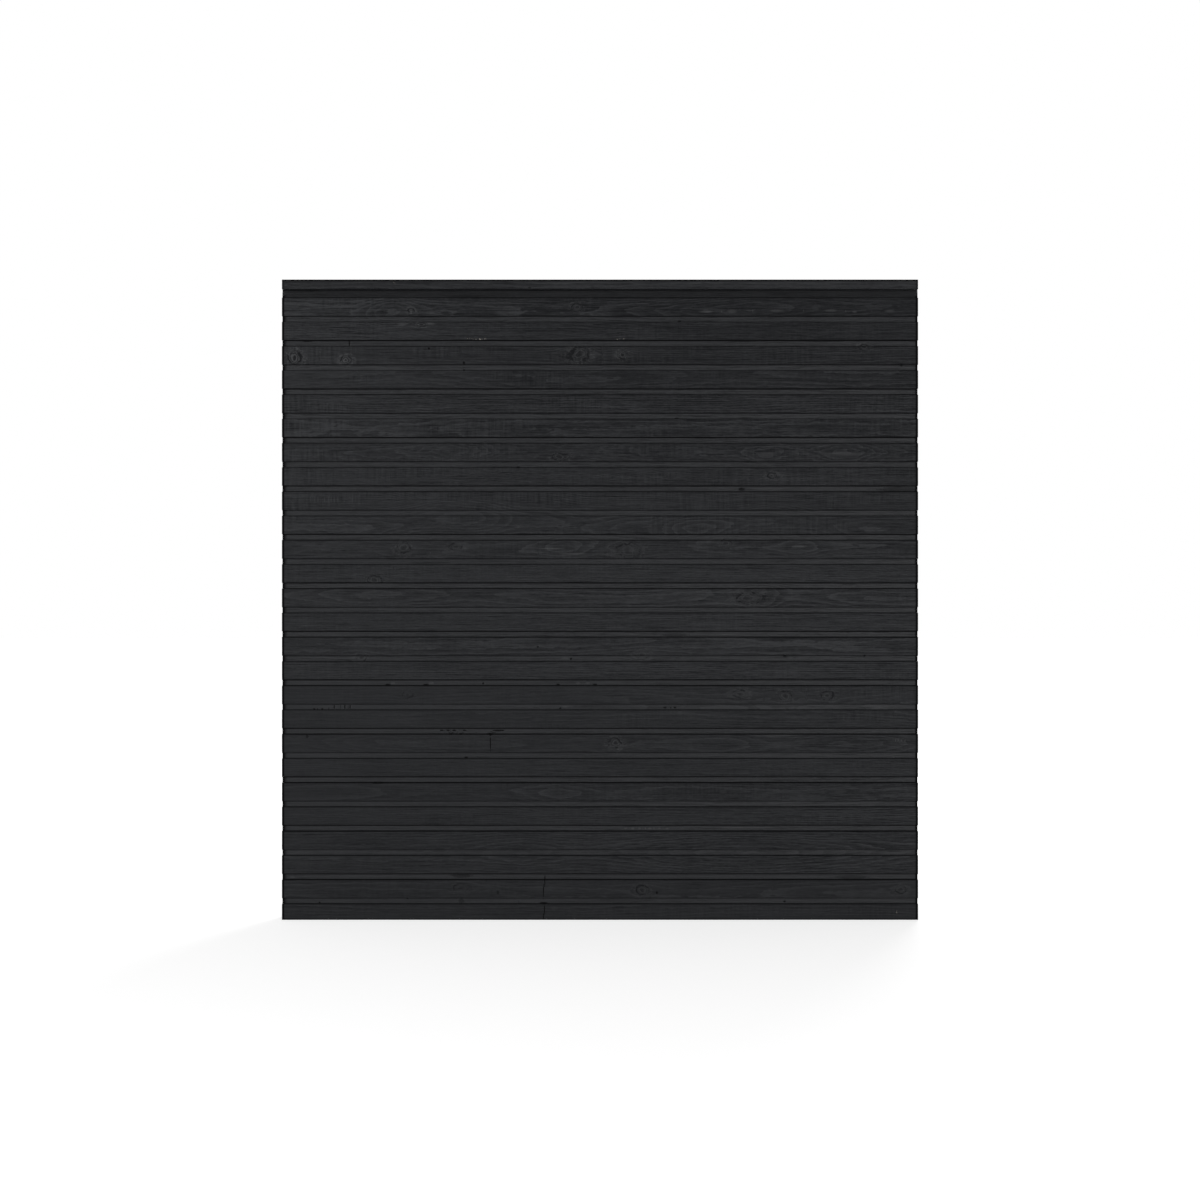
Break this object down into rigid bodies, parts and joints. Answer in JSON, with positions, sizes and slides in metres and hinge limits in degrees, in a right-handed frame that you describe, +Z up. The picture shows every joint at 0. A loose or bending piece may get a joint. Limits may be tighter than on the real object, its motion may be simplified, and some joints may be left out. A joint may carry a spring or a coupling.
{
  "type": "wooden fence panel",
  "caption": "Closed garden fence panel of horizontal tongued and grooved double-block planks, screwed to back battens under a flat cap board.",
  "frame": {"origin": "under the middle of the panel, at the centre of its bounding box's lower side, level with the lower edge", "axes": "+X along the planks to the right as seen from the front, +Y from the profiled front towards the battens, +Z up"},
  "size_m": [1.8, 0.095, 1.809],
  "materials": {
    "painted_planks": "fine-sawn softwood under thin matt black paint, grain and saw marks showing",
    "painted_cap": "planed softwood under thin satin black paint",
    "painted_battens": "planed softwood under thin matt black paint",
    "screws": "dark coated outdoor screw steel"
  },
  "bodies": {
    "root": {"plank_01": "painted_planks", "plank_02": "painted_planks", "plank_03": "painted_planks", "plank_04": "painted_planks", "plank_05": "painted_planks", "plank_06": "painted_planks", "plank_07": "painted_planks", "plank_08": "painted_planks", "plank_09": "painted_planks", "plank_10": "painted_planks", "plank_11": "painted_planks", "plank_12": "painted_planks", "plank_13": "painted_planks", "cap_board": "painted_cap", "batten_left": "painted_battens", "batten_middle": "painted_battens", "batten_right": "painted_battens", "plank_screws_left": "screws", "plank_screws_middle": "screws", "plank_screws_right": "screws", "cap_screws": "screws"}
  },
  "joints": []
}
